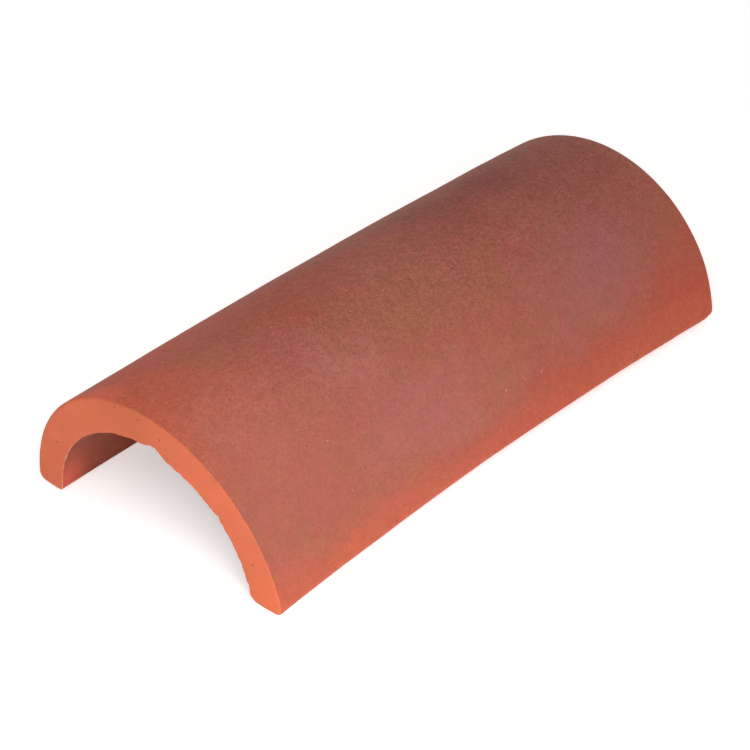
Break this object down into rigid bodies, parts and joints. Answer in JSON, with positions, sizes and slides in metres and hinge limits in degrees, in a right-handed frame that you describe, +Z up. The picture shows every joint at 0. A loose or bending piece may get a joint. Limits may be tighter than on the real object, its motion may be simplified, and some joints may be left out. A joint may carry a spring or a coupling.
{
  "type": "clay roof tile",
  "caption": "Half-round ridge tile of unglazed fired clay: a thick arched wall on two rounded feet, open underneath, with flat end faces.",
  "frame": {"origin": "on the floor, below the middle of the crown, at the middle of the tile's length", "axes": "+Y along the tile's length, +X across its span, +Z up through the crown"},
  "size_m": [0.2246, 0.4602, 0.1105],
  "materials": {
    "fired_clay": "matt unglazed terracotta, sand-faced brownish red outside, orange at the cut ends"
  },
  "bodies": {
    "root": {"ridge_tile": "fired_clay"}
  },
  "joints": []
}
